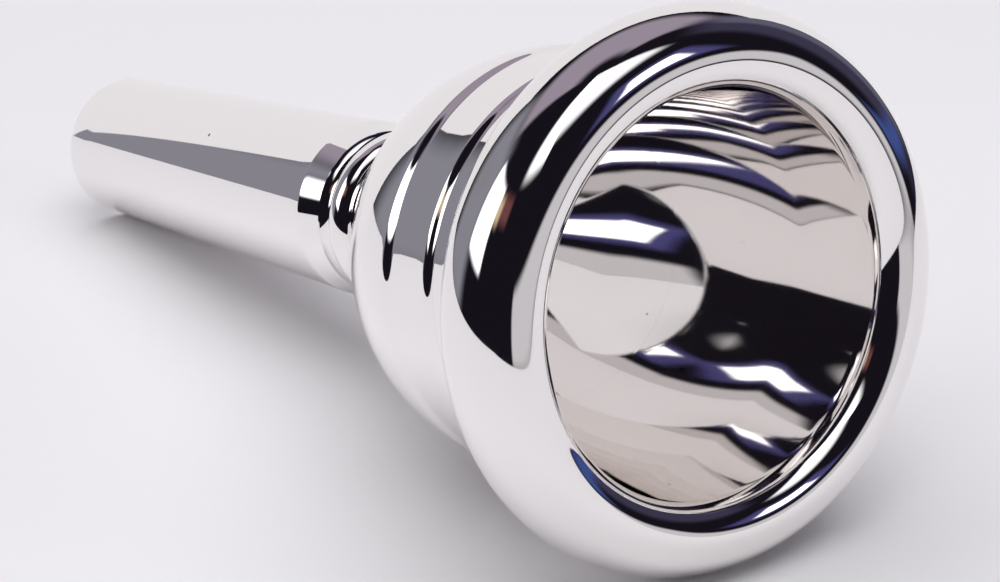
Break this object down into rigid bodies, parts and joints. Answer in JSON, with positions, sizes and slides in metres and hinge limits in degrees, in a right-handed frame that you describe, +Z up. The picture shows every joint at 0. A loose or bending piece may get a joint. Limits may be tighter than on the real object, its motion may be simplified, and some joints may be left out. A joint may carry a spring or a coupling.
{
  "type": "mouthpiece",
  "caption": "Large-bore brass-instrument mouthpiece with a screw-on rim, a deep cup and a screw-in tapered shank.",
  "frame": {"origin": "centre of the shank's small end, on the axis of the bore", "axes": "+Y runs along the axis from the rim to the small end of the shank, so the rim faces -Y; +Z is up and +X completes the frame"},
  "size_m": [0.045, 0.0952, 0.045],
  "materials": {
    "rim_metal": "polished silver plate over brass",
    "cup_metal": "polished silver plate over brass",
    "shank_metal": "polished silver plate over brass",
    "ring_rubber": "satin black rubber"
  },
  "bodies": {
    "shank": {"shank": "shank_metal"},
    "shank_o_ring": {"shank_o_ring": "ring_rubber"},
    "cup": {"cup": "cup_metal"},
    "rim_o_ring": {"rim_o_ring": "ring_rubber"},
    "rim": {"rim": "rim_metal"}
  },
  "joints": [
    {"name": "cup_turn", "type": "hinge", "parent": "shank", "child": "shank_o_ring", "pos_m": [0, -0.0494, 0], "axis": [0, -1, 0], "range_deg": [0, 1440]},
    {"name": "cup_advance", "type": "slide", "parent": "shank_o_ring", "child": "cup", "axis": [0, -1, 0], "range_m": [0, 0.004]},
    {"name": "rim_advance", "type": "slide", "parent": "cup", "child": "rim_o_ring", "axis": [0, -1, 0], "range_m": [0, 0.005]},
    {"name": "rim_turn", "type": "hinge", "parent": "rim_o_ring", "child": "rim", "pos_m": [0, -0.0794, 0], "axis": [0, -1, 0], "range_deg": [0, 1800]}
  ],
  "couplings": [
    {"joint": "cup_advance", "follows": "cup_turn", "m_per_rad": 0.00015915},
    {"joint": "rim_advance", "follows": "rim_turn", "m_per_rad": 0.00015915}
  ]
}
